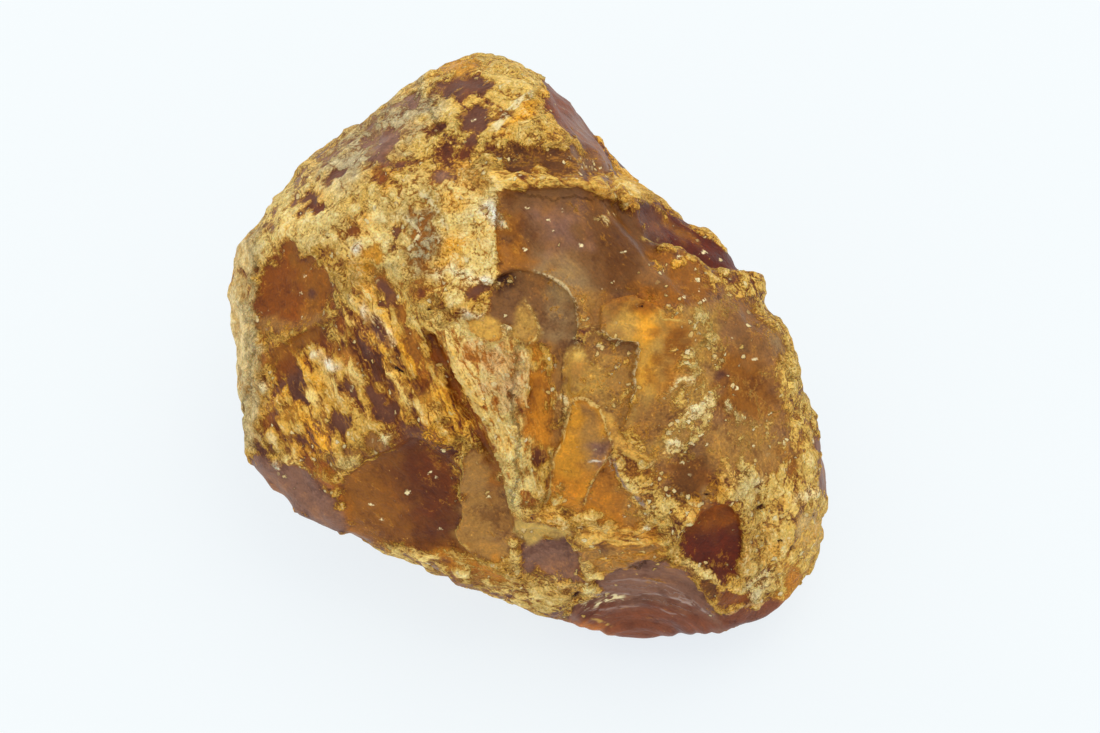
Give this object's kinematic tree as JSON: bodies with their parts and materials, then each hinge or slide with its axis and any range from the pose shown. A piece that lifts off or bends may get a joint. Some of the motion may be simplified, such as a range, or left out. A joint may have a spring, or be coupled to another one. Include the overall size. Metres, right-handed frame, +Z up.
{
  "type": "raw baltic amber nugget",
  "caption": "Raw weathered amber nugget with a craggy crust, smooth broken windows, stepped flake scars and shell-like ripples, lying on a flat spot.",
  "frame": {"origin": "under the middle of the nugget's box, on the surface that it rests on", "axes": "+Z up, +X along the nugget's longest reach"},
  "size_m": [0.079, 0.0619, 0.0537],
  "materials": {
    "weathered_amber": "waxy bare amber, brown to butterscotch, under a dull ochre weathering crust"
  },
  "bodies": {
    "root": {"amber_nugget": "weathered_amber"}
  },
  "joints": []
}
